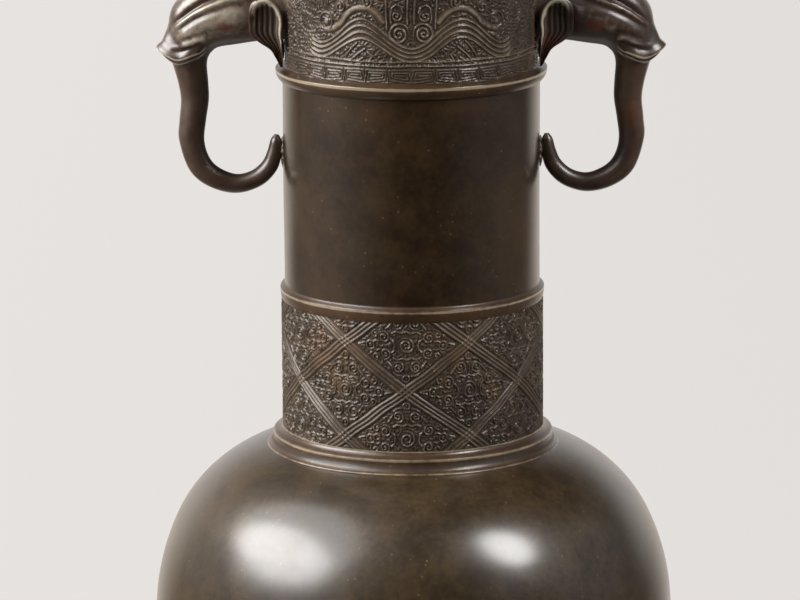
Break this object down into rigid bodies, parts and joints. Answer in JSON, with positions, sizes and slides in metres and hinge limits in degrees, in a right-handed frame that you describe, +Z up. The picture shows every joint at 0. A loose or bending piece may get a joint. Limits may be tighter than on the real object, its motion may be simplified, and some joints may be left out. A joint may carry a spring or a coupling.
{
  "type": "bronze hu vase",
  "caption": "Tall cast bronze vase with a globular belly, a banded cylindrical neck with relief ornament, and elephant-head handles whose trunks curl back to the neck.",
  "frame": {"origin": "centre of the standing face of the foot, on the vessel's axis", "axes": "+Z up the vessel's axis, +X towards the right handle as seen in the picture, -Y towards the picture's viewpoint"},
  "size_m": [0.1764, 0.1764, 0.3804],
  "materials": {
    "vessel_bronze": "dark brown patina, waxed semi-gloss",
    "handle_bronze": "dark reddish-brown patina, waxed gloss",
    "solder": "dull yellowish solder"
  },
  "bodies": {
    "root": {"foot": "vessel_bronze", "base_plate": "vessel_bronze", "foot_rib": "vessel_bronze", "belly": "vessel_bronze", "shoulder_collar": "vessel_bronze", "lower_neck": "vessel_bronze", "lower_rib": "vessel_bronze", "middle_neck": "vessel_bronze", "upper_rib": "vessel_bronze", "upper_neck": "vessel_bronze", "mouth_rib": "vessel_bronze", "mouth": "vessel_bronze", "left_handle": "handle_bronze", "right_handle": "handle_bronze", "left_lower_pin": "handle_bronze", "left_upper_pin": "handle_bronze", "right_lower_pin": "handle_bronze", "right_upper_pin": "handle_bronze", "left_trunk_solder": "solder", "right_trunk_solder": "solder"}
  },
  "joints": []
}
